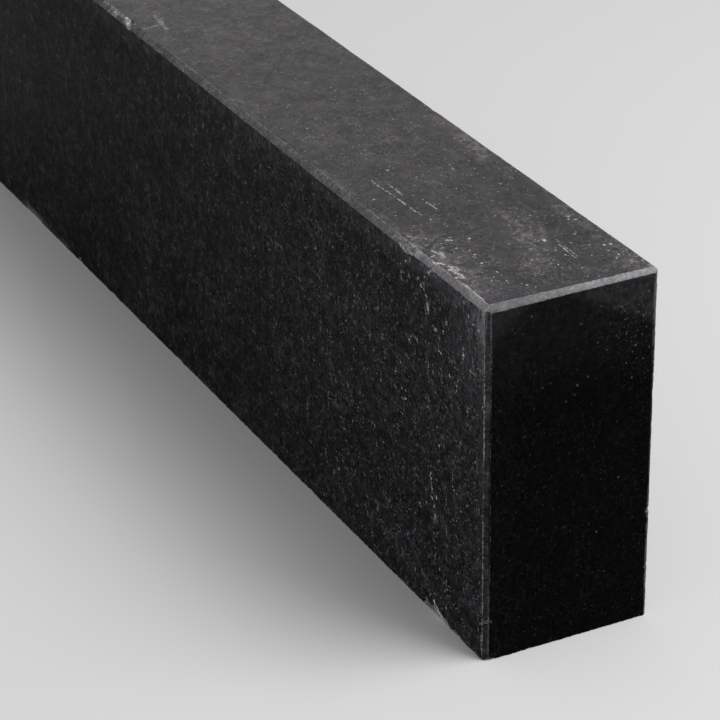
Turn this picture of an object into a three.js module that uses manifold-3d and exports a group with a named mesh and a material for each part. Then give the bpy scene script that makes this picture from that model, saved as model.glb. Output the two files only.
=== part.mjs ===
// Granite kerb stone: one block sawn to a rectangular section. Its top and upright arrises are ground
// to narrow chamfers by hand, its bed arrises are left as the saw left them, and a few arrises have
// spalled in handling.
//
// Millimetres, +Z up. The origin is the middle of the bed, and +X runs along the stone to its near end.

import * as THREE from 'three';
import { mergeVertices } from 'three/addons/utils/BufferGeometryUtils.js';
import Module from 'manifold-3d';

// --- The sawn block -----------------------------------------------------------------------------------

const LENGTH = 700;
const WIDTH = 97;
const HEIGHT = 200;

// Each face by its outward normal and its distance from the middle of the block.
const FACES = {
  near: { normal: new THREE.Vector3(1, 0, 0), reach: LENGTH / 2 },
  far: { normal: new THREE.Vector3(-1, 0, 0), reach: LENGTH / 2 },
  front: { normal: new THREE.Vector3(0, -1, 0), reach: WIDTH / 2 },
  back: { normal: new THREE.Vector3(0, 1, 0), reach: WIDTH / 2 },
  top: { normal: new THREE.Vector3(0, 0, 1), reach: HEIGHT / 2 },
  bed: { normal: new THREE.Vector3(0, 0, -1), reach: HEIGHT / 2 },
};

// --- Ground arrises -----------------------------------------------------------------------------------

// A chamfer has one leg on either face of its arris. The grinder leans as it goes, so each leg has a size
// where the stroke starts and one where it ends, and both waver a little in between.
const FRONT_TOP_LEG = { start: 2.9, end: 3.7 };
const BACK_TOP_LEG = { start: 1.6, end: 2.0 };
const NEAR_TOP_LEG = { start: 3.2, end: 2.3 };
const FAR_TOP_LEG = { start: 2.6, end: 2.9 };
const UPRIGHT_END_LEG = 3.0;
const UPRIGHT_SIDE_LEG = 2.1;
const BACK_UPRIGHT_LEG = 1.7;

const WAVER = 0.14; // the most that a leg strays from its straight taper
const HAND_PASS = 83; // the wavelength of the grinder's slow sway
const HAND_TREMBLE = 31; // and of the quick one on top of it
const STATION_SPACING = 10; // between the sections that a wandering chamfer is lofted through
const CUTTER_OVERRUN = 4; // how far a cutter stands out of the stone, so that no two faces coincide

// --- Spalls -------------------------------------------------------------------------------------------

// How far a spall's shell-shaped floor is centred outside the arris, as a share of its own radius. A larger
// share makes a shallower scoop.
const SCOOP_OFFSET = 0.5;
const RIPPLE_HEIGHT = 0.012; // of the rings that spread from the strike point, as a share of the radius
const RIPPLE_RINGS = 22;
const SCOOP_DETAIL = 12;

// A hard knock also lifts a smaller flake on either side of the main one: where each is centred and how
// big it is, as shares of the main flake's spread.
const SIDE_FLAKES = [
  { shift: -0.42, size: 0.5 },
  { shift: 0.38, size: 0.62 },
];

// --- Granite ------------------------------------------------------------------------------------------

const GRANITE_COLOUR = 0x2b2b2d;
const GRANITE_ROUGHNESS = 0.45;

const wasm = await Module();
wasm.setup();

// The line where two faces meet, with the chamfer legs that it is ground to on the first and second face.
// Its frame has +Y and +Z along the outward normals of those faces, and +X along the arris from its start
// to its end, so the stone lies where y and z are negative.
function arris(firstName, secondName, legOnFirst, legOnSecond = legOnFirst) {
  const first = FACES[firstName];
  const second = FACES[secondName];
  const along = first.normal.clone().cross(second.normal);
  const isAcross = (face) => Math.abs(face.normal.dot(along)) > 0.5;
  const halfLength = Object.values(FACES).find(isAcross).reach;
  const start = new THREE.Vector3(0, 0, HEIGHT / 2)
    .addScaledVector(first.normal, first.reach)
    .addScaledVector(second.normal, second.reach)
    .addScaledVector(along, -halfLength);
  const frame = new THREE.Matrix4().makeBasis(along, first.normal, second.normal).setPosition(start);
  return { length: 2 * halfLength, frame, legOnFirst, legOnSecond };
}

function legAt(leg, share) {
  return THREE.MathUtils.lerp(leg.start, leg.end, share);
}

// A closed solid through rings of points. The rings follow +X, and each runs anticlockwise seen from there.
function loft(rings) {
  const sides = rings[0].length;
  const index = [];
  for (let ring = 0; ring < rings.length - 1; ring++) {
    for (let side = 0; side < sides; side++) {
      const next = (side + 1) % sides;
      const a = ring * sides + side;
      const b = ring * sides + next;
      const c = b + sides;
      const d = a + sides;
      index.push(a, b, d, b, c, d);
    }
  }
  const last = (rings.length - 1) * sides;
  for (let side = 1; side < sides - 1; side++) {
    index.push(0, side + 1, side);
    index.push(last, last + side, last + side + 1);
  }
  const geometry = new THREE.BufferGeometry().setFromPoints(rings.flat());
  geometry.setIndex(index);
  return geometry;
}

// What the grinder takes off one arris: a wedge lofted through triangles, each a little wider or narrower
// than the last.
function chamferCutter({ length, frame, legOnFirst, legOnSecond }, phase) {
  const strokes = Math.max(1, Math.round(length / STATION_SPACING));
  const out = CUTTER_OVERRUN;
  const rings = [];
  for (let station = 0; station <= strokes; station++) {
    const share = station / strokes;
    const x = THREE.MathUtils.lerp(-out, length + out, share);
    const sway = 0.6 * Math.sin((2 * Math.PI * x) / HAND_PASS + phase);
    const tremble = 0.4 * Math.sin((2 * Math.PI * x) / HAND_TREMBLE + 2 * phase);
    const stray = WAVER * (sway + tremble);
    const onFirst = legAt(legOnFirst, share) + stray;
    const onSecond = legAt(legOnSecond, share) + stray;
    rings.push([
      new THREE.Vector3(x, out, out),
      new THREE.Vector3(x, -onSecond * (1 + out / onFirst), out),
      new THREE.Vector3(x, out, -onFirst * (1 + out / onSecond)),
    ]);
  }
  return loft(rings).applyMatrix4(frame);
}

// One flake off an arris: an ellipsoid whose centre is just outside the stone, with rings that spread from
// the strike point as they do in a shell-shaped fracture. It reaches `onFirst` down the arris's first face
// and `onSecond` across its second.
function scoop(at, spread, onFirst, onSecond) {
  const radiusPerReach = 1 / (Math.sqrt(1 - SCOOP_OFFSET ** 2) - SCOOP_OFFSET);
  const radiusPerSpread = 0.5 / Math.sqrt(1 - 2 * SCOOP_OFFSET ** 2);
  const radii = new THREE.Vector3(
    radiusPerSpread * spread,
    radiusPerReach * onSecond,
    radiusPerReach * onFirst,
  );
  const centre = new THREE.Vector3(0, SCOOP_OFFSET, SCOOP_OFFSET);
  const strike = new THREE.Vector3(0, -1, -1).normalize();
  const geometry = new THREE.IcosahedronGeometry(1, SCOOP_DETAIL);
  const position = geometry.attributes.position;
  const point = new THREE.Vector3();
  for (let i = 0; i < position.count; i++) {
    point.fromBufferAttribute(position, i).normalize();
    const ripple = Math.cos(RIPPLE_RINGS * point.angleTo(strike));
    point.multiplyScalar(1 + RIPPLE_HEIGHT * ripple);
    point.add(centre).multiply(radii);
    position.setXYZ(i, point.x, point.y, point.z);
  }
  return geometry.translate(at, 0, 0);
}

// The flakes that one knock breaks off an arris. Its place is given from one end of the arris, and its size
// by its spread along the arris and by how far it reaches past the chamfer on the first and second face. A
// reach below 0 stops within the chamfer.
function spallCutters(edge, { fromStart, fromEnd, spread, pastFirst, pastSecond, hard = false }) {
  const at = fromStart ?? edge.length - fromEnd;
  const onFirst = legAt(edge.legOnFirst, at / edge.length) + pastFirst;
  const onSecond = legAt(edge.legOnSecond, at / edge.length) + pastSecond;
  const flakes = [scoop(at, spread, onFirst, onSecond)];
  for (const { shift, size } of hard ? SIDE_FLAKES : []) {
    const shrink = (1 + size) / 2;
    flakes.push(scoop(at + shift * spread, size * spread, shrink * onFirst, shrink * onSecond));
  }
  return flakes.map((flake) => flake.applyMatrix4(edge.frame));
}

// --- The stone's arrises ------------------------------------------------------------------------------

const steady = (leg) => ({ start: leg, end: leg });
const AS_SAWN = steady(0);

const frontTop = arris('front', 'top', FRONT_TOP_LEG);
const backTop = arris('top', 'back', BACK_TOP_LEG);
const nearTop = arris('top', 'near', NEAR_TOP_LEG);
const farTop = arris('far', 'top', FAR_TOP_LEG);
const nearFront = arris('near', 'front', steady(UPRIGHT_END_LEG), steady(UPRIGHT_SIDE_LEG));
const farFront = arris('front', 'far', steady(UPRIGHT_SIDE_LEG), steady(UPRIGHT_END_LEG));
const nearBack = arris('back', 'near', steady(BACK_UPRIGHT_LEG));
const farBack = arris('far', 'back', steady(BACK_UPRIGHT_LEG));
const frontBed = arris('bed', 'front', AS_SAWN);
const nearBed = arris('bed', 'near', AS_SAWN);

function groundArrises() {
  return [
    chamferCutter(frontTop, 0.4),
    chamferCutter(backTop, 2.1),
    chamferCutter(nearTop, 1.2),
    chamferCutter(farTop, 3.3),
    chamferCutter(nearFront, 4.0),
    chamferCutter(farFront, 5.1),
    chamferCutter(nearBack, 0.9),
    chamferCutter(farBack, 2.8),
  ];
}

function spalls() {
  return [
    // The knocked edge behind the near corner, and the nick beside it, both below the chamfer
    spallCutters(frontTop, { fromStart: 83, spread: 15, pastFirst: 1.7, pastSecond: -0.5, hard: true }),
    spallCutters(frontTop, { fromStart: 57, spread: 4.5, pastFirst: 1.3, pastSecond: -1.5 }),
    // Two knocks on the far half of the same edge
    spallCutters(frontTop, { fromEnd: 263, spread: 9, pastFirst: 1.1, pastSecond: 1.3 }),
    spallCutters(frontTop, { fromEnd: 240, spread: 16, pastFirst: -0.6, pastSecond: 1.2, hard: true }),
    // Flat flakes off the front face along the bed
    spallCutters(frontBed, { fromStart: 50, spread: 22, pastFirst: 0.8, pastSecond: 4.2, hard: true }),
    spallCutters(frontBed, { fromStart: 29, spread: 12, pastFirst: 0.5, pastSecond: 1.8 }),
    spallCutters(frontBed, { fromEnd: 77, spread: 22, pastFirst: 0.8, pastSecond: 3.9, hard: true }),
    spallCutters(frontBed, { fromEnd: 160, spread: 9, pastFirst: 0.5, pastSecond: 2.2 }),
    // The blunted lower corner at the near end
    spallCutters(nearBed, { fromEnd: 2, spread: 12, pastFirst: 1.4, pastSecond: 1.8 }),
    // Nicks in the upright arrises of the near end
    spallCutters(nearFront, { fromEnd: 23, spread: 3.2, pastFirst: 1.2, pastSecond: 0.3 }),
    spallCutters(nearBack, { fromEnd: 63, spread: 4.5, pastFirst: 0.5, pastSecond: 1.3 }),
    spallCutters(nearBack, { fromEnd: 30, spread: 3.5, pastFirst: 0.5, pastSecond: 1.1 }),
  ].flat();
}

function toSolid(geometry) {
  const bare = geometry.clone();
  bare.deleteAttribute('normal');
  bare.deleteAttribute('uv');
  const merged = mergeVertices(bare);
  return new wasm.Manifold(
    new wasm.Mesh({
      numProp: 3,
      vertProperties: new Float32Array(merged.attributes.position.array),
      triVerts: new Uint32Array(merged.index.array),
    }),
  );
}

function toGeometry(solid) {
  const { vertProperties, triVerts } = solid.getMesh();
  const geometry = new THREE.BufferGeometry();
  geometry.setAttribute('position', new THREE.BufferAttribute(vertProperties, 3));
  geometry.setIndex(new THREE.BufferAttribute(triVerts, 1));
  geometry.computeVertexNormals();
  return geometry;
}

function kerbStone() {
  const block = new THREE.BoxGeometry(LENGTH, WIDTH, HEIGHT).translate(0, 0, HEIGHT / 2);
  let stone = toSolid(block);
  for (const cutter of [...groundArrises(), ...spalls()]) {
    stone = stone.subtract(toSolid(cutter));
  }
  const granite = new THREE.MeshStandardMaterial({
    color: GRANITE_COLOUR,
    roughness: GRANITE_ROUGHNESS,
    metalness: 0,
  });
  const mesh = new THREE.Mesh(toGeometry(stone), granite);
  mesh.name = 'kerb_stone';
  return mesh;
}

const kerb = new THREE.Group();
kerb.name = 'granite_kerb_stone';
kerb.add(kerbStone());

export default kerb;
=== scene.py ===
"""Looks of the granite kerb stone.

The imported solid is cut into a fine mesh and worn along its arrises. Each of its surfaces has its own
procedural granite: honed long faces, polished ends, a dusty top, ground arrises, broken scars and a
sawn bed. It stands on a plain pale floor in soft studio light.
"""

import math

import bmesh
import bpy
import numpy as np
from mathutils import Matrix, Vector, kdtree, noise
from mathutils.geometry import delaunay_2d_cdt


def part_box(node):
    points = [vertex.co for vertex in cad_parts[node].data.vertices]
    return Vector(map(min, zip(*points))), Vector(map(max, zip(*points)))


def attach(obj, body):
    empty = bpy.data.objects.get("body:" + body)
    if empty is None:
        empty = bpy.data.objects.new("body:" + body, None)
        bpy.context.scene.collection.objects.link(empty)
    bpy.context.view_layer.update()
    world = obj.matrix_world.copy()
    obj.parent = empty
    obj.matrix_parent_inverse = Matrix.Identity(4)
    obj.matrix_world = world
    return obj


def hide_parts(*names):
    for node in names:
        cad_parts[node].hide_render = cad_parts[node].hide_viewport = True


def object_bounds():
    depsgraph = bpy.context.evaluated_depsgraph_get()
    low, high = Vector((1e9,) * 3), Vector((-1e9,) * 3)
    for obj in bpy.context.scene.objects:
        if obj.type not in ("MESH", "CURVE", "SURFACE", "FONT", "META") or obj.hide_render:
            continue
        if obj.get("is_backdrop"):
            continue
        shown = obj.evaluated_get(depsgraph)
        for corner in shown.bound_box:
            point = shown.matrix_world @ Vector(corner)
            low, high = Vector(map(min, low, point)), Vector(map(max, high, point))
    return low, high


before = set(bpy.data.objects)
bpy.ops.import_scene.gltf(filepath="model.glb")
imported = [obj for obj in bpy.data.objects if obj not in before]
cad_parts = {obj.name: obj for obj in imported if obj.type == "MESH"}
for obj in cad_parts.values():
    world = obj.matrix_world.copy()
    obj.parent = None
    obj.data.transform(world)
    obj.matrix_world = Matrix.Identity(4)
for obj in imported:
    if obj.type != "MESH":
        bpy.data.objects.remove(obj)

cad_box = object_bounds()

MM = 0.001
LOW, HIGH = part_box("kerb_stone")
LENGTH, WIDTH, HEIGHT = (HIGH - LOW) / MM

# Places on the stone are in mm: back from its near end, in from its front face and up from its bed.


def place(back, inward, height):
    return Vector((HIGH.x - back * MM, LOW.y + inward * MM, LOW.z + height * MM))


# --- Camera -------------------------------------------------------------------------------------------

CAMERA_AZIMUTH = math.radians(63.332)
CAMERA_ELEVATION = math.radians(27.216)
CAMERA_ROLL = math.radians(-0.734)
CAMERA_PLACE = (-1097.3, -619.0, 820.6)  # back, inward and height
LENS = 147.3
SENSOR = 36.0


def make_camera():
    level = math.cos(CAMERA_ELEVATION)
    back = Vector((math.sin(CAMERA_AZIMUTH) * level, -math.cos(CAMERA_AZIMUTH) * level,
                   math.sin(CAMERA_ELEVATION)))
    right = Vector((0, 0, 1)).cross(back).normalized()
    axes = Matrix((right, back.cross(right), back)).transposed()
    roll = Matrix.Rotation(CAMERA_ROLL, 3, "Z")
    camera = bpy.data.objects.new("camera", bpy.data.cameras.new("camera"))
    camera.data.lens = LENS
    camera.data.sensor_width = SENSOR
    camera.matrix_world = Matrix.Translation(place(*CAMERA_PLACE)) @ (axes @ roll).to_4x4()
    bpy.context.scene.collection.objects.link(camera)
    bpy.context.scene.camera = camera


# --- Mesh of the stone, in mm -------------------------------------------------------------------------

WELD = 0.002  # corners nearer than this are one
FLAT = math.radians(0.05)  # facets that meet at less than this are one face
CREASE_ANGLE = math.radians(14)  # and those that meet at more than this have a crease between them
SMOOTH_ANGLE = math.radians(40)  # folds sharper than this are shaded as edges
CREASE_SPACING = 0.5  # between the points that stand for a crease
CREASE_READ = 8.0  # the furthest off a crease that the materials are told of
FINEST = 0.8  # between the points nearest to a crease
BANDS = (0.45, 2.0, 5.0, 11.0, 24.0, 1000.0)  # off a crease: the points start, and then lie ever wider
CLEARANCE = 0.3  # between a narrow facet's outline and the points inside it
SCAR_REACH = 10.0  # the furthest that a scar reaches into a flat face
ON_PLANE = 1e-3
CHAMFER_TILT = 0.55  # a chamfer's normal leans at least this much to each of the faces beside it
CDT_INSIDE = 1  # asks the triangulation for triangles inside the outline only
CDT_EPSILON = 1e-6

FLATS = ("long_face", "end_face", "top", "bed")
REGIONS = FLATS + ("long_arris", "end_arris", "upright", "scar")


def region_of(facet):
    """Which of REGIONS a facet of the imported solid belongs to."""
    corners = np.array([v.co for v in facet.verts])
    for axis, level, name in ((0, LOW.x, "end_face"), (0, HIGH.x, "end_face"), (1, LOW.y, "long_face"),
                              (1, HIGH.y, "long_face"), (2, LOW.z, "bed"), (2, HIGH.z, "top")):
        if np.abs(corners[:, axis] - level / MM).max() < ON_PLANE:
            return name
    across_end, across_side, upward = np.abs(np.array(facet.normal)) > CHAMFER_TILT
    if upward and (across_side or across_end) and facet.normal.z > 0:
        return "long_arris" if across_side else "end_arris"
    return "upright" if across_end and across_side else "scar"


def packed_facets():
    """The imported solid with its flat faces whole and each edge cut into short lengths.

    With it come the two ends of every crease, and of those creases that no scar touches.
    """
    bm = bmesh.new()
    bm.from_mesh(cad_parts["kerb_stone"].data)
    bmesh.ops.scale(bm, vec=(1 / MM,) * 3, verts=bm.verts)
    bmesh.ops.remove_doubles(bm, verts=bm.verts, dist=WELD)
    bmesh.ops.dissolve_limit(bm, angle_limit=FLAT, verts=bm.verts, edges=bm.edges)
    folded = [e for e in bm.edges if e.calc_face_angle(0) > CREASE_ANGLE]
    unbroken = [e for e in folded if "scar" not in map(region_of, e.link_faces)]
    creases, arrises = ([[v.co.copy() for v in e.verts] for e in edges] for edges in (folded, unbroken))
    lengths = {}
    for edge in bm.edges:
        lengths.setdefault(math.ceil(edge.calc_length() / FINEST), []).append(edge)
    for pieces, edges in lengths.items():
        if pieces > 1:
            bmesh.ops.bisect_edges(bm, edges=edges, cuts=pieces - 1)
    return bm, creases, arrises


def crease_tree(creases):
    """A tree of points set closely along every crease, to find how far off the nearest one is."""
    spots = []
    for start, end in creases:
        steps = math.ceil((end - start).length / CREASE_SPACING)
        spots += [start.lerp(end, i / steps) for i in range(steps + 1)]
    tree = kdtree.KDTree(len(spots))
    for i, spot in enumerate(spots):
        tree.insert(spot, i)
    tree.balance()
    return tree


def crease_distance(tree, points):
    return np.array([tree.find(p)[2] for p in points])


def inner_points(outline, to_space, tree, is_flat):
    """Points inside a facet: from each of BANDS on, twice as far apart as before.

    A flat face's creases run along its sides, and a scar dents them by SCAR_REACH at most, so the points
    further in are left out early. A narrow facet's outline is convex, and its points are kept inside that.
    """
    low, high = outline.min(0), outline.max(0)
    found = []
    for level, (near, far) in enumerate(zip(BANDS, BANDS[1:])):
        step = FINEST * 2**level
        rows = [np.arange(math.ceil(a / step), b / step) * step for a, b in zip(low, high)]
        spots = np.stack([axis.ravel() for axis in np.meshgrid(*rows)], 1)
        if is_flat:
            from_side = np.minimum(spots - low, high - spots).min(1)
            spots = spots[from_side < far + SCAR_REACH]
        else:
            run = np.roll(outline, -1, 0) - outline
            inward = np.stack([-run[:, 1], run[:, 0]], 1) / np.linalg.norm(run, axis=1)[:, None]
            depth = ((spots[:, None] - outline) * inward).sum(2).min(1)
            spots = spots[depth > CLEARANCE]
        if len(spots):
            off = crease_distance(tree, to_space(spots))
            found.append(spots[(off >= near) & (off < far)])
    return np.vstack(found) if found else np.zeros((0, 2))


def facet_axes(normal):
    """Two axes in a facet's plane and its normal, as rows."""
    is_square = max(map(abs, normal)) >= 0.999
    across = normal.yzx if is_square else normal.orthogonal().normalized()
    return np.array([across, normal.cross(across), normal])


def fill_facet(facet, is_flat, tree, points):
    """The triangles of one facet, by the numbers of their points. Its inner points join points."""
    axes = facet_axes(facet.normal)
    corners = np.array([v.co for v in facet.verts]) @ axes.T
    depth = corners[:, 2].mean()

    def to_space(spots):
        return np.column_stack([spots, np.full(len(spots), depth)]) @ axes

    inner = inner_points(corners[:, :2], to_space, tree, is_flat)
    spots = [Vector(spot) for spot in np.vstack([corners[:, :2], inner])]
    outline = list(range(len(corners)))
    made = delaunay_2d_cdt(spots, [], [outline], CDT_INSIDE, CDT_EPSILON)
    triangles, sources = made[2], made[3]
    numbers = {i: v.index for i, v in enumerate(facet.verts)}
    faces = []
    for triangle in triangles:
        used = [sources[corner][0] for corner in triangle]
        for source in used:
            if source not in numbers:
                numbers[source] = len(points)
                points.append(Vector(to_space(inner[source - len(corners)][None])[0]))
        faces.append([numbers[source] for source in used])
    return faces


def stone_triangles():
    """Points, triangles, each triangle's region and facet normal, and trees of the creases and arrises."""
    bm, creases, arrises = packed_facets()
    tree = crease_tree(creases)
    bm.verts.index_update()
    points = [v.co.copy() for v in bm.verts]
    faces, regions, normals = [], [], []
    for facet in bm.faces:
        region = region_of(facet)
        filling = fill_facet(facet, region in FLATS, tree, points)
        faces += filling
        regions += [REGIONS.index(region)] * len(filling)
        normals += [facet.normal.copy()] * len(filling)
    bm.free()
    return *map(np.array, (points, faces, regions, normals)), tree, crease_tree(arrises)


# --- Wear, in mm --------------------------------------------------------------------------------------

BRUISE_DEPTH = 0.30
BRUISE_REACH = 0.75
BRUISE_GRAIN = 1.6
BRUISE_MEAN = 0.55  # how bruised a crease is on average, as a share of the depth
BRUISE_FINE = 0.75  # how much that varies from grain to grain
BRUISE_COARSE = 0.35  # and over four times as long
BED_REACH = 3.0  # below this height the bed's sawn edge is worn more
BED_BRUISE = 1.7
NICK_DEPTH = 0.8
NICK_REACH = 1.5
NICK_SPACING = 9.0
NICK_SHARE = 0.62
NICK_SHIFT = Vector((7.3, 1.9, 4.1))  # sets the nicks apart from the bruises
SCAR_GRAIN = 0.9
SCAR_DEPTH = 0.12
WORN_REACH = 3 * BRUISE_REACH  # nothing is worn further off a crease than this, outside the scars


def fade(far, reach):
    return math.exp(-((far / reach) ** 2))


def wear_depth(point, far, in_scar):
    """How far in a point goes: bruises and nicks along the creases, and grain in the scars."""
    fine = noise.noise(point / BRUISE_GRAIN)
    coarse = noise.noise(point / (4 * BRUISE_GRAIN))
    bruise = max(0, BRUISE_MEAN + BRUISE_FINE * fine + BRUISE_COARSE * coarse)
    depth = BRUISE_DEPTH * bruise * fade(far, BRUISE_REACH)
    if point.z < BED_REACH + LOW.z / MM:
        depth *= BED_BRUISE
    nick = noise.noise(point / NICK_SPACING + NICK_SHIFT) - 1 + NICK_SHARE
    if nick > 0:
        depth += NICK_DEPTH * nick / NICK_SHARE * fade(far, NICK_REACH)
    if in_scar:
        depth += SCAR_DEPTH * (0.5 + noise.noise(point / SCAR_GRAIN))
    return max(0, depth)


def wear(points, faces, region, far):
    """The points moved in along the normals there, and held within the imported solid's box."""
    corners = points[faces]
    normal = np.cross(corners[:, 1] - corners[:, 0], corners[:, 2] - corners[:, 0])
    at_point = np.zeros_like(points)
    scarred = np.zeros(len(points), bool)
    for corner in range(3):
        np.add.at(at_point, faces[:, corner], normal)
        scarred[faces[region == REGIONS.index("scar"), corner]] = True
    at_point /= np.linalg.norm(at_point, axis=1)[:, None]
    depth = np.zeros(len(points))
    for i in np.flatnonzero((far < WORN_REACH) | scarred):
        depth[i] = wear_depth(Vector(points[i]), far[i], scarred[i])
    return np.clip(points - at_point * depth[:, None], LOW / MM, HIGH / MM)


# --- Layout of the bake map ---------------------------------------------------------------------------

MAP_GAP = 4.0
MAP_CHOICE = (1, 1.01, 1.02)  # a chamfer is laid out with the top or bed, or else with a long face


def bake_layout(points, faces, normal):
    """Each face of the box laid flat in its own strip of a square, with the arrises joined to them."""
    side = 2 * (WIDTH + HEIGHT) + WIDTH + 6 * MAP_GAP
    low = np.array(LOW) / MM
    axis = np.argmax(np.abs(normal) * MAP_CHOICE, axis=1)
    positive = np.take_along_axis(normal, axis[:, None], 1)[:, 0] > 0
    corners = points[faces] - low
    uv = np.zeros((len(faces), 3, 2))
    floor = MAP_GAP
    for along, up, of_axis, tall in ((0, 2, 1, HEIGHT), (0, 1, 2, WIDTH)):
        for sign in (False, True):
            rows = (axis == of_axis) & (positive == sign)
            uv[rows] = corners[rows][:, :, [along, up]] + (MAP_GAP, floor)
            floor += tall + MAP_GAP
    for sign in (False, True):
        rows = (axis == 0) & (positive == sign)
        uv[rows] = corners[rows][:, :, [2, 1]] + (MAP_GAP + sign * (HEIGHT + MAP_GAP), floor)
    return uv / side


def make_stone():
    points, faces, region, normal, tree, arris_tree = stone_triangles()
    far = crease_distance(tree, points)
    from_arris = crease_distance(arris_tree, points)
    uv = bake_layout(points, faces, normal)
    points = wear(points, faces, region, far)

    mesh = bpy.data.meshes.new("kerb")
    mesh.from_pydata((points * MM).tolist(), [], faces.tolist())
    mesh.polygons.foreach_set("use_smooth", np.ones(len(faces), bool))
    mesh.polygons.foreach_set("material_index", region.astype(np.int32))
    mesh.set_sharp_from_angle(angle=SMOOTH_ANGLE)
    crease = mesh.attributes.new("crease", "FLOAT", "POINT")
    crease.data.foreach_set("value", np.minimum(from_arris, CREASE_READ))
    layer = mesh.uv_layers.new(name="OFBake")
    layer.uv.foreach_set("vector", uv.ravel())
    stone = bpy.data.objects.new("kerb", mesh)
    bpy.context.scene.collection.objects.link(stone)
    return stone


# --- Shader nodes -------------------------------------------------------------------------------------

PLAIN = (1.0, 1.0, 1.0)


class Shade:
    """One material. Each call adds nodes to it and gives back the socket that they end in."""

    def __init__(self, name):
        self.material = bpy.data.materials.new(name)
        self.material.use_nodes = True
        self.tree = self.material.node_tree
        self.surface = self.tree.nodes["Principled BSDF"]
        scale = (-1 / MM, 1 / MM, 1 / MM)
        corner = [-s * c for s, c in zip(scale, (HIGH.x, LOW.y, LOW.z))]
        world = self.node("ShaderNodeTexCoord").outputs["Object"]
        placed = self.node("ShaderNodeMapping", Vector=world, Location=corner, Scale=scale)
        self.stone = placed.outputs["Vector"]
        self.back, self.inward, self.height = self.node("ShaderNodeSeparateXYZ", Vector=self.stone).outputs
        self.crease = self.node("ShaderNodeAttribute", {"attribute_name": "crease"}).outputs["Fac"]

    def node(self, kind, settings=None, **inputs):
        made = self.tree.nodes.new(kind)
        for name, value in (settings or {}).items():
            setattr(made, name, value)
        for name, value in inputs.items():
            self.feed(made.inputs[name], value)
        return made

    def feed(self, socket, value):
        if isinstance(value, bpy.types.NodeSocket):
            self.tree.links.new(value, socket)
        else:
            socket.default_value = value

    def math(self, operation, *values):
        made = self.tree.nodes.new("ShaderNodeMath")
        made.operation = operation
        for socket, value in zip(made.inputs, values):
            self.feed(socket, value)
        return made.outputs["Value"]

    def fold(self, operation, values):
        total = values[0]
        for value in values[1:]:
            total = self.math(operation, total, value)
        return total

    def add(self, *values):
        return self.fold("ADD", values)

    def minus(self, value, less):
        return self.math("SUBTRACT", value, less)

    def times(self, *values):
        return self.fold("MULTIPLY", values)

    def most(self, *values):
        return self.fold("MAXIMUM", values)

    def least(self, *values):
        return self.fold("MINIMUM", values)

    def linear(self, value, slope, start):
        return self.math("MULTIPLY_ADD", value, slope, start)

    def clamped(self, value):
        return self.node("ShaderNodeClamp", Value=value).outputs["Result"]

    def ramp(self, value, start, end, low=0.0, high=1.0):
        """low where value is at start, high where it is at end, and smooth between."""
        if not isinstance(start, bpy.types.NodeSocket) and not isinstance(end, bpy.types.NodeSocket):
            if start > end:
                start, end, low, high = end, start, high, low
        made = self.tree.nodes.new("ShaderNodeMapRange")
        made.interpolation_type = "SMOOTHSTEP"
        for name, number in (("Value", value), ("From Min", start), ("From Max", end),
                             ("To Min", low), ("To Max", high)):
            self.feed(made.inputs[name], number)
        return made.outputs["Result"]

    def vector(self, operation, *values):
        made = self.tree.nodes.new("ShaderNodeVectorMath")
        made.operation = operation
        for socket, value in zip(made.inputs, values):
            self.feed(socket, value)
        return made.outputs["Value" if operation in ("DOT_PRODUCT", "DISTANCE") else "Vector"]

    def scaled(self, vector, factor):
        made = self.node("ShaderNodeVectorMath", {"operation": "SCALE"}, Scale=factor)
        self.feed(made.inputs[0], vector)
        return made.outputs["Vector"]

    def sized(self, size, turn=(0, 0, 0), shift=0):
        """The place on the stone measured in a grain's own size, turned by degrees about each axis."""
        size = (size,) * 3 if isinstance(size, (int, float)) else size
        turn = [math.radians(t) for t in turn]
        return self.node("ShaderNodeMapping", {"vector_type": "TEXTURE"}, Vector=self.stone, Scale=size,
                         Rotation=turn, Location=(shift, -shift, 2 * shift)).outputs["Vector"]

    def swayed(self, size, sway):
        """The place on the stone, pushed about by no more than sway."""
        push = self.node("ShaderNodeTexNoise", Vector=self.sized(size, shift=21), Scale=1.0, Detail=2.0)
        off_middle = self.vector("SUBTRACT", push.outputs["Color"], (0.5, 0.5, 0.5))
        return self.vector("ADD", self.stone, self.scaled(off_middle, 2 * sway))

    def clouds(self, size, detail=2.0, turn=(0, 0, 0), rough=0.5, shift=0):
        return self.node("ShaderNodeTexNoise", Vector=self.sized(size, turn, shift), Scale=1.0, Detail=detail,
                         Roughness=rough).outputs["Fac"]

    def patches(self, size, faint, strong):
        """A strength that varies in patches of this size."""
        return self.ramp(self.clouds(size, 2, shift=14), 0.38, 0.62, faint, strong)

    def scatter(self, *layers):
        """Noise about 0, added up from layers of a size in mm and a strength."""
        noises = [self.linear(self.clouds(size, 2, rough=0.6, shift=11 * i), strength, -strength / 2)
                  for i, (size, strength) in enumerate(layers)]
        return self.add(*noises)

    def uneven(self, level, mottle):
        """A level that varies with mottle, which is the natural log of how much."""
        return self.times(level, self.math("EXPONENT", mottle))

    def flecks(self, size, share, turn=(0, 0, 0), edge=0.55, shift=0):
        """Crystals of about this size: the share of the cells that shows is lit, some more than others."""
        cells = self.node("ShaderNodeTexVoronoi", Vector=self.sized(size, turn, shift), Scale=1.0)
        lot = self.node("ShaderNodeSeparateColor", Color=cells.outputs["Color"])
        lit = self.ramp(lot.outputs["Red"], self.minus(1.0, share), 1.0)
        reach = self.linear(lot.outputs["Green"], edge * 0.6, edge * 0.4)
        inside = self.minus(reach, cells.outputs["Distance"])
        return self.times(lit, self.ramp(inside, 0.0, edge * 0.4))

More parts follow.
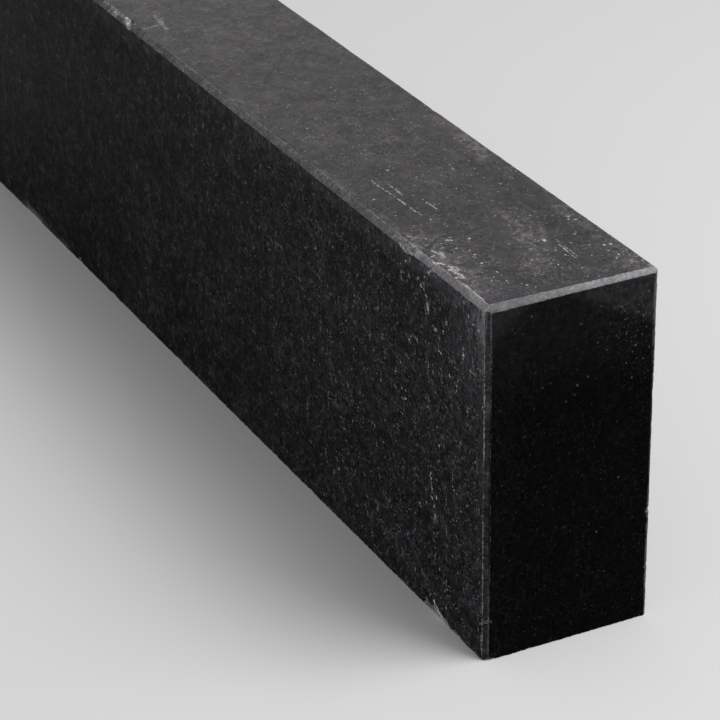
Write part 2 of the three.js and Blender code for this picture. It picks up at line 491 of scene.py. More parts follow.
    def hairs(self, size, width, shift=0):
        """Thin curved lines, each about as long as size, with gaps between them."""
        off = self.math("ABSOLUTE", self.minus(self.clouds(size, 1.5, shift=shift), 0.5))
        gaps = self.ramp(self.clouds(size, 2, shift=shift + 5), 0.46, 0.60)
        return self.times(self.ramp(off, width, 0.0), gaps)

    def dot(self, place, centre, radius):
        """1 at a place on the stone, falling to 0 at radius from it."""
        return self.ramp(self.vector("DISTANCE", place, centre), radius, 0.0)

    def stroke(self, place, start, end, width):
        """1 on the line between two places on the stone, falling to 0 at width from it."""
        run = Vector(end) - Vector(start)
        offset = self.vector("SUBTRACT", place, start)
        share = self.clamped(self.vector("DOT_PRODUCT", offset, run / run.length_squared))
        return self.dot(offset, self.scaled(run, share), width)

    def broken(self, mask, size, loss=0.5, detail=3):
        """A mask eaten away in patches of this size, its faint parts first."""
        gap = self.ramp(self.clouds(size, detail, shift=3.7), 0.3, 0.7, 0.0, 2 * loss)
        return self.ramp(self.minus(mask, gap), 0.0, 0.35)

    def rim(self, width, loss):
        """The bruised line along a crease."""
        return self.broken(self.ramp(self.crease, width, 0.0, 0.0, 1.4), 2.5, loss)

    def mix(self, share, first, second):
        made = self.node("ShaderNodeMix", {"data_type": "RGBA"})
        for socket, value in ((made.inputs[0], share), (made.inputs[6], first), (made.inputs[7], second)):
            if isinstance(value, tuple) and len(value) == 3:
                value = (*value, 1.0)
            self.feed(socket, value)
        return made.outputs[2]

    def two_tints(self, size, first, second, detail=2, shift=0):
        """One tint or the other, in patches of this size."""
        return self.mix(self.ramp(self.clouds(size, detail, shift=shift), 0.42, 0.58), first, second)

    def tinted(self, tint, grey):
        return self.vector("MULTIPLY", tint, self.scaled(PLAIN, grey))

    def finish(self, colour, roughness, height, relief, specular):
        """The material, with its bumps as high as relief in mm."""
        bump = self.node("ShaderNodeBump", Height=height, Distance=relief * MM).outputs["Normal"]
        self.feed(self.surface.inputs["Base Color"], colour)
        self.feed(self.surface.inputs["Roughness"], roughness)
        self.feed(self.surface.inputs["Normal"], bump)
        self.surface.inputs["Specular IOR Level"].default_value = specular
        return self.material


# --- Marks --------------------------------------------------------------------------------------------

# A line's two ends, its half width, and its strength where that isn't 1, or a dot's middle and radius. On
# the top and on the chamfer at its front, a place is given back from the near end and in from the front
# face. On the front face it is given back and up, and on the near end in and up.
SCRATCHES = (
    ((161, 21.0), (151, 20.8), 0.7),
    ((151, 21.2), (134, 22.2), 0.9, 0.9),
    ((134, 22.2), (109, 23.2), 1.2, 0.75),
    ((149, 26.6), (137, 26.6), 1.2, 0.85),
    ((123, 33.4), (113, 33.8), 0.7, 1.5),
    ((52, 68.5), (42, 68.3), 0.6, 0.75),
    ((42, 68.3), (30, 68.1), 0.6, 1.05),
    ((46, 67.1), (37, 66.5), 0.8, 1.5),
    ((37, 66.5), (28.5, 66.4), 0.6, 0.95),
    ((168, 68.5), (150, 64.8), 0.7, 0.7),
    ((30, 3.3), (19, 3.3), 1.2),
    ((20, 3.2), (8, 3.2), 0.9),
)
SCUFFS = (
    ((91.0, 5.4), (87.0, 7.5), 1.1, 0.6),
    ((82.0, 3.2), (78.0, 3.4), 1.0, 0.5),
    ((77.0, 8.0), (77.5, 10.0), 0.8, 0.5),
    ((69.0, 8.3), (64.5, 9.9), 1.1, 1.0),
    ((67.0, 11.0), (59.5, 9.1), 1.6, 0.45),
    ((63.5, 3.5), (64.0, 6.5), 0.9, 0.7),
    ((57.0, 3.0), (53.5, 5.7), 1.4, 1.0),
    ((50.0, 6.3), (47.0, 9.6), 1.2, 0.9),
    ((46.0, 4.8), (44.0, 7.8), 1.2, 0.8),
    ((48.0, 7.5), (43.0, 7.0), 1.7, 0.6),
    ((47.0, 9.6), (43.5, 8.5), 1.0, 0.8),
    ((42.5, 6.0), (38.0, 7.6), 1.3, 0.7),
    ((36.5, 3.2), (35.5, 7.3), 0.9, 0.9),
    ((37.5, 6.0), (36.0, 7.6), 0.9, 0.8),
    ((29.0, 3.4), (26.5, 3.9), 1.0, 0.6),
    ((29.0, 3.4), (9.0, 3.5), 0.7, 0.85),
    ((4.5, 94.0), (1.0, 95.0), 1.8, 0.6),
)
SMUDGES = (
    ((423, 3.3), (424, 13.0), 1.8, 1.2),
    ((439, 18.5), (433.5, 19.3), 3.0, 1.6),
    ((433.5, 19.3), (425, 16.7), 2.8, 1.5),
    ((425, 16.7), (416.5, 16.1), 2.4, 1.3),
    ((441, 15.5), (439, 15.5), 2.0, 0.6),
    ((397.5, 33), (396.5, 33), 2.0, 0.6),
    ((380, 13), (379, 13), 2.0, 0.6),
    ((359.5, 8.5), (358, 8.5), 1.8, 0.7),
)
SPECKS = (
    (77, 20.5, 1.5), (76, 22.5, 0.9), (73.5, 31, 1.2), (66.5, 20, 1.0), (55.5, 24.5, 1.1),
    (45.5, 22.5, 1.1), (33, 24.5, 1.0), (56.5, 16, 0.9), (54, 63, 1.7), (34, 64, 1.0),
    (12.5, 88.5, 1.1), (28.5, 85, 1.1), (34.5, 90, 1.0), (68.5, 89.5, 1.0), (73, 88, 0.9),
    (70, 86.5, 1.0), (35, 86.5, 1.3),
    (103, 25, 1.0), (22, 23.5, 0.9), (139, 11, 0.9), (169, 34.5, 1.1),
)
SPECKLED = (
    ((92, 10), (20, 14), 15),
    ((32, 94), (0, 90), 18),
    ((84, 66), (30, 46), 16),
    ((190, 92), (160, 88), 10),
    ((84, 90), (58, 92), 9),
)
SMEARS = (
    ((98, 60.5), (74, 60.5), 3.5),
    ((68, 59.0), (58, 54.0), 6.0),
    ((66, 69.0), (56, 63.0), 2.5),
    ((60, 11.0), (38, 11.0), 5.0),
    ((224, 89.0), (206, 93.0), 5.0),
    ((204, 94.0), (162, 88.0), 8.0),
    ((186, 3.0), (150, 4.0), 4.0),
    ((120, 5.0), (98, 5.0), 3.0),
    ((62, 8.0), (38, 6.5), 4.5, 1.5),
    ((60, 4.4), (28, 4.6), 2.6, 1.6),
    ((36, 6.5), (18, 6.0), 4.5, 1.5),
    ((92, 4.8), (76, 4.2), 3.5, 0.9),
)
STREAKS = (
    ((80.5, 185.5), (78.5, 183.5), 1.4),
    ((52, 162), (47, 157), 1.2),
    ((23, 172), (23, 161), 1.5, 1.2),
    ((65, 188), (61.5, 180), 1.2, 0.9),
    ((60.5, 178), (59, 172), 1.4, 1.3),
    ((57, 82), (54.5, 72), 1.3),
    ((54.5, 72), (52, 64), 1.2),
    ((13, 168), (13, 163), 1.3),
    ((51, 60), (53, 55), 1.5),
    ((52, 48), (51.5, 31), 1.2),
    ((88, 111), (83, 112), 1.3),
)
CLUSTERS = (
    ((56, 84), (51, 54), 7.0, 1.3),
    ((67, 190), (60, 172), 7.0, 1.6),
    ((89, 188), (79, 184), 4.0),
    ((53, 168), (44, 155), 5.0),
)
CRYSTALS = (
    (58.5, 194, 1.8), (57, 195.5, 1.5), (59.5, 176, 2.2), (59, 174, 2.0), (63, 190, 1.3),
    (66.5, 183.5, 1.5), (63.5, 183, 1.3), (61, 181, 1.3),
    (70, 186.5, 1.2), (63, 173.5, 1.2), (88.5, 187, 1.4), (83, 191, 1.0), (23, 194, 1.1),
    (18, 188, 1.2), (13.5, 186, 1.2), (8, 185, 1.2), (22.5, 164.5, 1.6), (51.5, 166, 1.5),
    (43, 168.5, 1.3), (40, 175, 1.3), (46, 155.5, 1.4), (48, 156.5, 1.0), (32.5, 150, 1.2),
    (36.5, 146.5, 1.3), (72.5, 153, 1.2), (79, 148, 1.3), (68, 58, 1.5), (71, 91.5, 1.2), (32, 84.5, 1.4),
    (47, 30.5, 1.2), (33.5, 45.5, 1.2), (39.5, 10.5, 1.3), (51.5, 58.5, 1.6), (53, 56.5, 1.3),
    (56.5, 81.5, 1.4), (55, 74, 1.3), (55, 68.5, 1.2), (50.5, 71, 1.6), (52.5, 64, 1.3),
    (56, 79, 0.9), (85, 74, 1.3), (88, 111, 1.3), (83.5, 112.5, 1.1), (47.5, 102, 1.5),
)
ARRIS_LEG = 3.4  # of the chamfer that CHIPS lie on
CHIPS = (
    ((445.5, 2.6), (441.0, 1.8), 2.8, 1.0),
    ((441.0, 1.8), (436.5, -0.3), 1.4, 0.6),
    ((441.0, 2.8), (434.0, 3.0), 1.3, 0.6),
    ((463.0, -0.3), (457.5, 0.8), 2.0, 0.20),
    ((462.5, 3.1), (458.0, 2.7), 2.0, 0.20),
    ((456.0, 2.7), (449.0, 2.6), 2.0, 0.24),
    ((479.0, 2.6), (473.0, 2.6), 1.7, 0.28),
    ((470.0, 3.1), (465.0, 3.2), 1.5, 0.20),
    ((394.5, 0.2), (390.0, 0.4), 1.6, 0.20),
    ((359.5, 1.8), (356.0, -0.3), 1.4, 0.18),
    ((353.0, 3.2), (344.5, 3.1), 1.4, 0.14),
    ((97.0, 1.4), (90.0, 2.6), 1.7, 0.20),
    ((89.0, -0.3), (82.5, 0.2), 1.7, 0.55),
    ((82.5, 0.2), (77.5, 0.2), 1.5, 0.45),
    ((82.5, 3.1), (79.0, 2.8), 1.4, 0.30),
    ((66.0, 0.2), (63.0, -0.1), 1.3, 0.22),
    ((58.0, 3.1), (53.5, 4.0), 1.6, 0.50),
    ((58.0, -0.2), (53.0, 0.4), 1.4, 0.22),
    ((37.0, 3.3), (36.0, 4.0), 1.2, 0.35),
)
END_SPECKS = (
    (25, 190, 0.9), (91, 188.5, 1.0), (53, 179.5, 0.8), (20, 181.5, 0.7), (69.5, 176, 0.8),
    (78.5, 176.5, 0.7), (75.5, 184, 0.7), (88.5, 176, 1.0), (62.5, 167, 0.8), (79, 168, 0.8),
    (88, 165.5, 0.9), (68, 161.5, 0.8), (84.5, 160.5, 0.8), (51.5, 146, 1.0), (57.5, 149.5, 0.8),
    (32, 149.5, 0.7), (50, 141.5, 0.7), (45, 138.5, 0.8), (77, 87.5, 0.9), (65, 59, 0.9),
)
# Flakes knocked off the front face by the bed: pale broken stone, made brighter still as a painted highlight.
HIGHLIT_FLAKES = (
    ((61.0, 4.4), (57.5, 3.2), 1.3),
    ((54.0, 7.6), (48.0, 4.4), 1.4),
    ((54.0, 3.6), (40.0, 0.6), 2.2),
    ((541, 2.0), (538, 1.0), 1.6),
)
BED_BRUISES = (
    ((664, 1.5), (635, 1.0), 4.5),
    ((636, 3.0), (612, 2.0), 5.5),
    ((612, 2.0), (564, 1.5), 5.0),
    ((40, 0.5), (22, 0.2), 3.0),
)


def on_top(back, inward):
    return back, inward, HEIGHT


def on_front(back, up):
    return back, 0.0, up


def on_end(inward, up):
    return 0.0, inward, up


def on_arris(back, inward):
    """On the chamfer between the front face and the top."""
    return back, inward, HEIGHT - ARRIS_LEG + inward


def strokes(s, place, marks, lay):
    """All of these lines at once, laid on a face by lay."""
    return s.most(*(s.times(s.stroke(place, lay(*start), lay(*end), width), *strength)
                    for start, end, width, *strength in marks))


def dots(s, place, marks, lay):
    """All of these dots at once, laid on a face by lay."""
    return s.most(*(s.dot(place, lay(*middle), radius) for *middle, radius in marks))


# --- Granite ------------------------------------------------------------------------------------------

# Each finish is built in a Shade, s. Its parts are masks and strengths, which are added up to a grey level.
# The grey is tinted, and the marks are mixed over it.

COOL = (1.02, 1.0, 1.13)
GREENISH = (0.99, 1.01, 0.975)
CRUSHED = (0.34, 0.34, 0.34)
BROKEN = (0.75, 0.74, 0.73)
DUST = (0.54, 0.50, 0.50)
SMEARED = (0.23, 0.19, 0.19)
RUST = (0.16, 0.11, 0.075)


def long_face():
    """Honed, and dustier towards the near end and the top: small pale crystals in near-black."""
    s = Shade("granite_long_face")
    at_back = s.ramp(s.inward, 45.0, 50.0)
    near = s.most(s.ramp(s.back, 580.0, 90.0), s.times(at_back, 0.55))
    clear = s.most(s.ramp(s.back, 420.0, 60.0, 0.45, 1.0), s.times(at_back, 0.62))
    patchy = s.patches(7, 0.14, 1.45)
    mottle = s.add(s.times(s.scatter((1.3, 7.5)), clear, patchy),
                   s.times(s.scatter((2.4, 6.0)), s.linear(near, 0.4, 0.6), patchy),
                   s.times(s.scatter((4.5, 3.6), (9.0, 2.8)), s.ramp(s.back, 240.0, 420.0, 1.0, 1.25)),
                   s.scatter((50, 1.5)))
    # Painted light: the face is made up to 1.3 times lighter towards the bed, to offset the floor's shadow
    # that it reflects there.
    level = s.times(s.linear(near, 0.0055, 0.0085), s.ramp(s.height, 40.0, 5.0, 1.0, 1.30))

    clusters = strokes(s, s.stone, CLUSTERS, on_front)
    fine = s.times(s.flecks(1.1, 0.30), patchy)
    bright = s.flecks(1.5, s.add(0.12, s.times(clusters, 0.16)), shift=5)
    # Painted highlight: the glints are pale crystals made brighter still, standing in for their sparkle.
    glint = s.flecks(2.1, s.add(0.055, s.times(clusters, 0.12)), edge=0.36, shift=8)
    lit = s.add(s.times(fine, 0.035), s.times(bright, 0.125), s.times(glint, 0.31))
    handled = s.times(s.linear(near, 0.66, 0.26), s.ramp(s.clouds(40, 3, shift=2), 0.35, 0.65, 0.5, 1.2))

    hairs = s.times(s.hairs(5.0, 0.03), s.ramp(s.back, 150.0, 40.0), 0.05)
    streaks = strokes(s, s.swayed(3.0, 3.0), STREAKS, on_front)
    streaks = s.times(s.broken(s.ramp(streaks, 0.35, 0.8), 1.1, 0.6), 0.15)

    by_rubbed_patch = s.times(s.ramp(s.back, 15.0, 40.0), s.ramp(s.back, 130.0, 90.0))
    veil = s.add(s.times(s.ramp(s.back, 12.0, 2.0), s.ramp(s.height, 164.0, 192.0), 0.088),
                 s.times(s.ramp(s.back, 50.0, 3.0), s.ramp(s.height, 126.0, 194.0), 0.034),
                 s.times(s.ramp(s.height, 182.0, 196.0), s.linear(by_rubbed_patch, 0.009, 0.012)),
                 s.times(s.ramp(s.back, 14.0, 1.0), s.ramp(s.height, 20.0, 120.0), 0.009))
    wisps = s.ramp(s.clouds((2.4, 2.4, 5.0), 3, shift=6), 0.25, 0.75, 0.2, 1.8)
    grey = s.add(s.uneven(level, mottle), s.times(handled, lit), hairs, streaks, s.times(veil, wisps))

    cool = s.add(s.ramp(s.clouds(22, 3, shift=9), 0.42, 0.56, -0.5, 0.6),
                 s.ramp(s.back, 120.0, 30.0, 0.2, 1.0),
                 s.times(s.ramp(s.height, 168.0, 186.0), s.ramp(s.back, 150.0, 190.0),
                         s.ramp(s.back, 290.0, 230.0)))
    colour = s.tinted(s.mix(s.clamped(cool), GREENISH, COOL), grey)

    crystals = s.broken(s.times(dots(s, s.swayed(1.6, 2.2), CRYSTALS, on_front), 1.2), 1.2, 0.45)
    # Pale broken stone of the flakes, with a painted highlight on it.
    highlit_flakes = s.broken(strokes(s, s.swayed(2.5, 1.6), HIGHLIT_FLAKES, on_front), 1.3, 0.55)
    bruise = s.times(strokes(s, s.swayed(5, 2.0), BED_BRUISES, on_front),
                     s.ramp(s.clouds(4, 3), 0.35, 0.6, 0.4, 1.0),
                     s.ramp(s.back, 590.0, 612.0, 0.04, 0.12), s.ramp(s.back, 645.0, 636.0, 0.3, 1.0))
    rim = s.times(s.rim(0.8, 0.5), s.ramp(s.height, 150.0, 8.0, 0.25, 1.0), 0.5)
    colour = s.mix(s.most(s.times(crystals, 0.6), s.times(highlit_flakes, 0.8), bruise), colour, BROKEN)
    colour = s.mix(rim, colour, CRUSHED)
    rough = s.ramp(s.clouds(3, 3), 0.3, 0.7, 0.30, 0.44)
    return s.finish(colour, rough, s.add(fine, mottle), 0.02, 0.01)


def end_face():
    """Polished near-black, with pinpoint flecks, and a painted reflection that makes it paler under the top
    arris towards both sides.
    """
    s = Shade("granite_end_face")
    patchy = s.patches(9, 0.25, 1.6)
    mottle = s.add(s.times(s.scatter((2.0, 3.4)), patchy), s.scatter((4.0, 2.6), (12, 1.5)))
    level = s.times(s.uneven(0.0016, mottle), s.ramp(s.inward, 2.0, 30.0, 1.5, 1.0))

    fine = s.flecks(1.4, 0.14)
    laths = s.flecks((1.0, 1.0, 2.8), 0.10, (35, 0, 0), shift=2)
    bright = s.flecks(1.7, s.add(0.07, s.ramp(s.inward, 50.0, 97.0, 0.0, 0.08)), edge=0.42, shift=5)
    # Painted highlight: the glint and shining flecks are pale crystals made brighter still, standing in for
    # their sparkle.
    glint = s.flecks(1.6, 0.07, edge=0.37, shift=8)
    sprinkled = s.stroke(s.stone, on_end(84, 176), on_end(83, 150), 17)
    shining = s.times(s.ramp(sprinkled, 0.0, 0.6), s.flecks(1.6, 0.18, edge=0.42, shift=13))
    hairs = s.times(s.hairs(4.0, 0.035), s.ramp(s.inward, 45.0, 90.0), s.ramp(s.height, 140.0, 185.0))

    # Painted reflection: the polished face is paler above two slanting lines under the top arris, and a
    # little over its whole upper part.
    over_right = s.minus(s.height, s.linear(s.inward, -0.53, 222.0))
    over_left = s.minus(s.height, s.linear(s.inward, 0.8, 172.0))
    painted_reflection = s.times(s.most(s.times(s.ramp(over_right, -7.0, 5.0), 0.015),
                           s.times(s.ramp(over_left, -6.0, 14.0), 0.012),
                           s.times(s.ramp(s.height, 135.0, 190.0), 0.004)),
                    s.ramp(s.clouds(5, 4, rough=0.6), 0.25, 0.75, 0.5, 1.5))
    grey = s.add(level, s.times(patchy, s.add(s.times(fine, 0.0015), s.times(laths, 0.0028))),
                 s.times(bright, 0.0080), s.times(glint, 0.027), s.times(shining, 0.07),
                 s.times(hairs, 0.03), painted_reflection)

    tint = s.two_tints(24, (0.97, 1.015, 0.95), (1.01, 0.995, 1.04), detail=3, shift=9)
    tint = s.mix(s.times(s.ramp(s.height, 170.0, 192.0), 0.7), tint, (1.02, 0.99, 1.08))
    colour = s.mix(s.times(s.rim(0.5, 0.8), 0.2), s.tinted(tint, grey), CRUSHED)

    chafed = s.times(s.ramp(s.inward, 93.6, 94.8), s.ramp(s.height, 140.0, 175.0),
                     s.ramp(s.clouds((9, 9, 5)), 0.3, 0.5))
    frayed = s.times(s.ramp(s.inward, 94.2, 95.2), s.ramp(s.height, 80.0, 66.0),
                     s.ramp(s.height, 12.0, 26.0), s.ramp(s.clouds(3, 3), 0.35, 0.5))
    colour = s.mix(s.add(s.times(chafed, 0.16), s.times(frayed, 0.24)), colour, CRUSHED)
    colour = s.mix(s.times(dots(s, s.swayed(1.6, 1.0), END_SPECKS, on_end), 0.09), colour, BROKEN)
    rough = s.ramp(s.clouds(26, 4, rough=0.6), 0.3, 0.7, 0.18, 0.30)
    return s.finish(colour, rough, mottle, 0.01, 0.015)


def top():
    """Sawn fine and dusty: warm grey with bright flecks, scratched and scuffed towards the near end."""
    s = Shade("granite_top")
    near = s.ramp(s.back, 480.0, 90.0, 0.45, 1.0)
    patchy = s.patches(8, 0.15, 1.45)
    mottle = s.add(s.times(s.scatter((1.2, 2.2), (2.0, 1.5)), near, patchy),
                   s.times(s.scatter((4.5, 1.5)), s.linear(patchy, 0.4, 0.6)),
                   s.scatter((12, 1.1), (60, 0.6)))
    clean = s.stroke(s.stone, on_top(150, 78), on_top(50, 78), 16)
    level = s.times(s.linear(s.ramp(s.back, 0.0, LENGTH), 0.030, 0.0305), s.linear(clean, -0.18, 1.0))

    speckled = strokes(s, s.stone, SPECKLED, on_top)
    fine = s.flecks(1.3, 0.28)
    bright = s.flecks(1.4, s.add(0.075, s.times(speckled, 0.15)), edge=0.5, shift=5)
    # Painted highlight: the glints are pale crystals made brighter still, standing in for their sparkle.
    glint = s.flecks(1.8, s.add(0.025, s.times(speckled, 0.08)), edge=0.38, shift=8)
    lit = s.add(s.times(fine, patchy, 0.078), s.times(bright, 0.25), s.times(glint, 0.44))
    hairs = s.times(s.hairs(6.0, 0.028), s.add(s.ramp(s.back, 260.0, 40.0, 0.05, 0.5), speckled))
    smudged = s.times(strokes(s, s.swayed(4.0, 1.5), SMUDGES, on_top),
                      s.ramp(s.clouds(2.5, 3, shift=12), 0.3, 0.6))
    grey = s.add(s.uneven(level, mottle), s.times(s.ramp(s.back, 400.0, 40.0, 0.50, 1.0), lit),
                 s.times(hairs, 0.08), s.times(speckled, s.ramp(s.clouds(3, 3), 0.35, 0.7), 0.035),
                 s.times(smudged, 0.09))

    tint = s.two_tints(14, (1.09, 0.995, 1.02), (1.03, 1.0, 1.03), shift=4)
    lilac = s.times(s.ramp(s.back, 45.0, 5.0), s.ramp(s.clouds(12, 2, shift=7), 0.35, 0.6))
    colour = s.tinted(s.mix(lilac, tint, (1.05, 0.98, 1.11)), grey)

    swayed = s.swayed(3.0, 1.8)
    smear = s.times(strokes(s, swayed, SMEARS, on_top), s.ramp(s.clouds(3, 4, rough=0.7), 0.3, 0.7))
    scratch = s.broken(strokes(s, s.swayed(4.0, 0.5), SCRATCHES, on_top), 1.8, 0.6)
    ragged = s.add(s.ramp(s.clouds(1.1, 3, rough=0.7, shift=17), 0.36, 0.60),
                   s.times(s.hairs(3.5, 0.05, 3), 0.8))
    worn = s.times(strokes(s, swayed, SCUFFS, on_top), ragged)
    specks = dots(s, s.swayed(1.6, 1.4), SPECKS, on_top)
    rim = s.times(s.rim(0.6, 0.6), s.most(s.ramp(s.back, 200.0, 30.0, 0.15, 1.0),
                                          s.ramp(s.inward, 90.0, 94.0, 0.15, 0.9)))
    colour = s.mix(s.times(smear, 0.30), colour, SMEARED)
    colour = s.mix(s.times(scratch, 0.33), colour, BROKEN)
    colour = s.mix(s.least(0.95, s.times(worn, 1.15)), colour, DUST)
    colour = s.mix(s.times(specks, 0.68), colour, BROKEN)
    colour = s.mix(s.times(rim, 0.45), colour, CRUSHED)
    rough = s.ramp(s.clouds(1.9, 5, rough=0.7), 0.35, 0.7, 0.42, 0.60)
    return s.finish(colour, rough, s.add(fine, mottle), 0.04, 0.25)


def knocked_white(s):
    """Where the front top edge was hit: crushed to a pale powder."""
    powder = s.ramp(s.clouds(1.6, 3, shift=6), 0.35, 0.60, 0.1, 1.0)
    return s.times(strokes(s, s.swayed(2.0, 1.6), CHIPS, on_arris), powder)


def arris(name, wheel_mark, tint, grey_of, bruised):
    """Ground by hand: matt, with the wheel's fine marks across it and a bruised line along each side.

    wheel_mark is the size of one of the wheel's marks on each axis, grey_of gives the chamfer's grey level in
    a Shade, with painted light on the end arris, and bruised is how strong the line is by the near end.
    """
    s = Shade(name)
    wheel = s.clouds(wheel_mark, 3, rough=0.65)
    scuffed = s.stroke(s.stone, on_arris(93, 1.6), on_arris(76, 1.6), 4.5)
    mottle = s.times(s.scatter((1.1, 2.8), (2.2, 1.9), (6, 1.2)), s.ramp(s.back, 70.0, 200.0, 0.65, 1.1),
                     s.linear(scuffed, 1.3, 1.0))
    grey = s.times(s.uneven(s.ramp(wheel, 0.25, 0.75, 0.80, 1.20), mottle), grey_of(s),
                   s.linear(scuffed, -0.12, 1.0))
    rim = s.times(s.rim(0.6, 0.65), s.ramp(s.back, 190.0, 20.0, 0.26, bruised))
    colour = s.tinted(s.two_tints(8, (1.01, 1.0, 1.03), tint, shift=3), grey)
    colour = s.mix(rim, colour, CRUSHED)
    colour = s.mix(knocked_white(s), colour, BROKEN)
    return s.finish(colour, 0.55, s.add(wheel, mottle), 0.05, 0.35)


def long_arris():
    def grey_of(s):
        return s.times(s.ramp(s.back, 135.0, 15.0, 0.077, 0.172), s.ramp(s.back, 290.0, 400.0, 1.0, 0.80),
                       s.ramp(s.clouds(22, 3), 0.35, 0.65, 0.8, 1.15))

    return arris("granite_long_arris", (0.7, 9, 9), (1.03, 0.99, 1.13), grey_of, 0.55)


def end_arris():
    def grey_of(s):
        # Painted light: the chamfer is made over twice as light towards the back side, where more light falls
        # on it.
        return s.times(s.ramp(s.inward, 12.0, 96.0, 0.075, 0.178),
                       s.ramp(s.clouds(14, 3), 0.35, 0.65, 0.85, 1.1))

    return arris("granite_end_arris", (9, 0.7, 9), (1.02, 0.99, 1.08), grey_of, 0.25)


def upright():
    """The upright chamfers are ground finer and stay dark, with a bruised line along the long face."""
    s = Shade("granite_upright_arris")
    wheel = s.times(s.minus(s.clouds((9, 9, 0.9), 2, shift=4), 0.5), 2.2)
    mottle = s.add(s.scatter((1.2, 3.0), (3.0, 2.4), (9, 2.0)), wheel)
    fine = s.flecks(1.0, 0.3)

    from_side = s.least(s.inward, s.minus(WIDTH, s.inward))
    beads = s.ramp(s.clouds((3, 3, 2.2), 2, shift=8), 0.40, 0.60, 0.25, 1.0)
    line = s.times(s.ramp(from_side, 0.9, 0.0), s.ramp(s.clouds((9, 9, 14), 2), 0.3, 0.6, 0.3, 1.0))
    line = s.times(s.broken(line, 1.5, 0.35), beads, 0.75)
    by_end = s.times(s.ramp(s.back, 0.9, 0.0),
                     s.most(s.ramp(s.height, 170.0, 192.0, 0.0, 0.17),
                            s.times(s.ramp(s.height, 50.0, 20.0), beads, 0.20)))
    by_top = s.times(s.ramp(from_side, 1.5, 0.3), s.ramp(s.height, 178.0, 193.0),
                     s.ramp(s.clouds((0.9, 0.9, 14)), 0.3, 0.6), 0.40)

    level = s.times(s.ramp(s.height, 80.0, 165.0, 0.017, 0.028),
                    s.ramp(s.clouds(12, 2, shift=6), 0.35, 0.65, 0.7, 1.25))
    polished = s.times(s.ramp(s.back, 0.75, 0.25, 0.0, 0.8),
                       s.times(s.ramp(s.height, 44.0, 60.0), s.ramp(s.height, 152.0, 135.0)))
    grey = s.times(s.add(s.uneven(level, mottle), s.times(fine, 0.02)), s.minus(1.0, polished))
    colour = s.mix(s.most(line, by_end, by_top), s.scaled((1.03, 1.0, 1.12), grey), CRUSHED)
    nick = s.stroke(s.stone, (0.4, 2.8, 23.4), (0.0, 3.2, 23.2), 1.5)
    colour = s.mix(s.times(nick, 0.6), colour, BROKEN)
    return s.finish(colour, 0.4, s.add(fine, mottle), 0.03, 0.06)


def scar():
    """Broken stone: white crushed crystals, with a little rusty dirt rubbed in."""
    s = Shade("granite_scar")
    grains = s.flecks(1.2, 0.5)
    high = s.ramp(s.height, 150.0, 190.0)
    # The flake by the bed: white broken stone, made up to 2.6 times brighter as a painted highlight.
    white_and_highlit = s.stroke(s.stone, on_front(52, 3.6), on_front(41, 0.6), 4.0)
    by_corner = s.most(s.ramp(s.back, 0.6, 2.0), s.ramp(s.inward, 3.4, 2.6, 0.15, 1.0))
    level = s.times(s.linear(high, -0.02, 0.16), s.ramp(s.back, 480.0, 600.0, 1.0, 0.5),
                    s.linear(white_and_highlit, 1.6, 1.0), s.ramp(s.back, 4.5, 3.5, 1.0, 0.35), by_corner)
    grey = s.add(s.uneven(level, s.scatter((1.4, 5.0), (3.0, 3.0))), s.times(grains, 0.16))
    tint = s.two_tints(4, (1.04, 0.98, 1.10), (1.03, 1.0, 0.98))
    rust = s.times(high, s.ramp(s.height, 198.4, 196.0), s.ramp(s.clouds(4, 3), 0.45, 0.62, 0.0, 0.6))
    colour = s.mix(rust, s.tinted(tint, grey), RUST)
    colour = s.mix(s.times(knocked_white(s), 0.8), colour, BROKEN)
    return s.finish(colour, 0.5, grains, 0.15, 0.4)


def bed():
    """Left as the saw cut it: matt grey with the blade's shallow scores across it."""
    s = Shade("granite_bed")
    scores = s.clouds((1.4, 70, 70), 3, (0, 0, 6))
    fine = s.flecks(1.3, 0.5)
    grey = s.add(0.035, s.times(scores, 0.03), s.times(fine, 0.06), s.times(s.clouds(30, 3), 0.02))
    colour = s.mix(s.times(s.rim(0.7, 0.5), 0.6), s.scaled(PLAIN, grey), CRUSHED)
    return s.finish(colour, 0.6, s.add(scores, s.times(fine, 0.2)), 0.15, 0.3)


FINISHES = (long_face, end_face, top, bed, long_arris, end_arris, upright, scar)  # in the order of REGIONS


# --- Studio -------------------------------------------------------------------------------------------

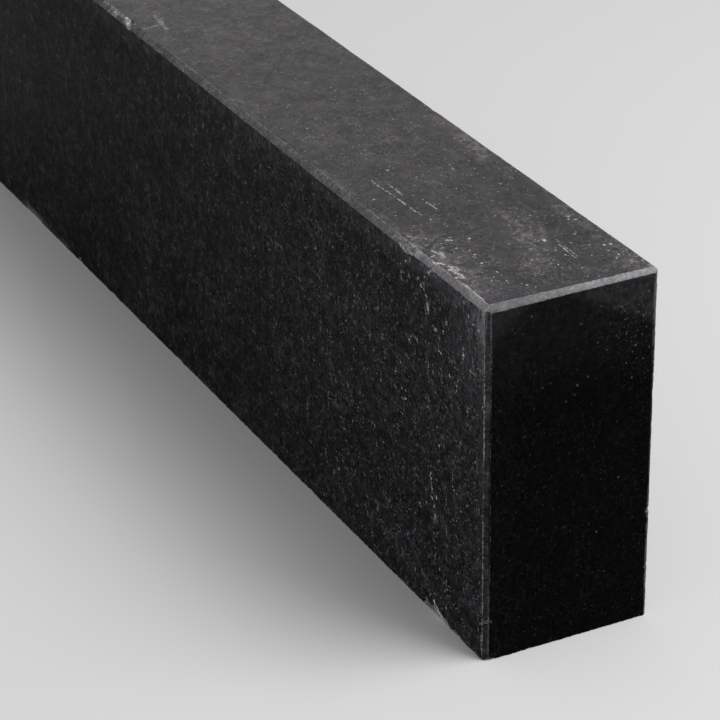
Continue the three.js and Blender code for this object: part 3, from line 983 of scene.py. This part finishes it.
FLOOR_SPAN = 24.0
FLOOR_COLOUR = (0.62, 0.62, 0.62, 1)
FLOOR_ROUGHNESS = 0.95
FLOOR_SPECULAR = 0.1
WORLD_COLOUR = (0.62, 0.62, 0.62, 1)
WORLD_STRENGTH = 0.8
KEY_WAY = Vector((0.42, 0.36, 0.83)).normalized()
KEY_REACH = 3.0
KEY_SIZE = 1.8
KEY_POWER = 75


def make_floor():
    half = FLOOR_SPAN / 2
    corners = [(-half, -half, LOW.z), (half, -half, LOW.z), (half, half, LOW.z), (-half, half, LOW.z)]
    sheet = bpy.data.meshes.new("floor")
    sheet.from_pydata(corners, [], [(0, 1, 2, 3)])
    floor = bpy.data.objects.new("floor", sheet)
    bpy.context.scene.collection.objects.link(floor)
    paint = bpy.data.materials.new("floor")
    paint.use_nodes = True
    surface = paint.node_tree.nodes["Principled BSDF"]
    surface.inputs["Base Color"].default_value = FLOOR_COLOUR
    surface.inputs["Roughness"].default_value = FLOOR_ROUGHNESS
    surface.inputs["Specular IOR Level"].default_value = FLOOR_SPECULAR
    sheet.materials.append(paint)
    floor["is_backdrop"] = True


def make_light():
    world = bpy.data.worlds.new("world")
    world.use_nodes = True
    background = world.node_tree.nodes["Background"]
    background.inputs["Color"].default_value = WORLD_COLOUR
    background.inputs["Strength"].default_value = WORLD_STRENGTH
    bpy.context.scene.world = world

    lamp = bpy.data.lights.new("key", "AREA")
    lamp.shape = "SQUARE"
    lamp.size = KEY_SIZE
    lamp.energy = KEY_POWER
    key = bpy.data.objects.new("key", lamp)
    turn = KEY_WAY.to_track_quat("Z", "Y").to_matrix().to_4x4()
    key.matrix_world = Matrix.Translation(KEY_WAY * KEY_REACH) @ turn
    bpy.context.scene.collection.objects.link(key)


make_camera()
make_floor()
make_light()
bpy.context.scene.view_settings.view_transform = "Standard"

stone = make_stone()
for finish in FINISHES:
    stone.data.materials.append(finish())
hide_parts("kerb_stone")
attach(stone, "root")

boxes = {"cad": cad_box, "visual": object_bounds()}
{name: [list(corner) for corner in box] for name, box in boxes.items()}
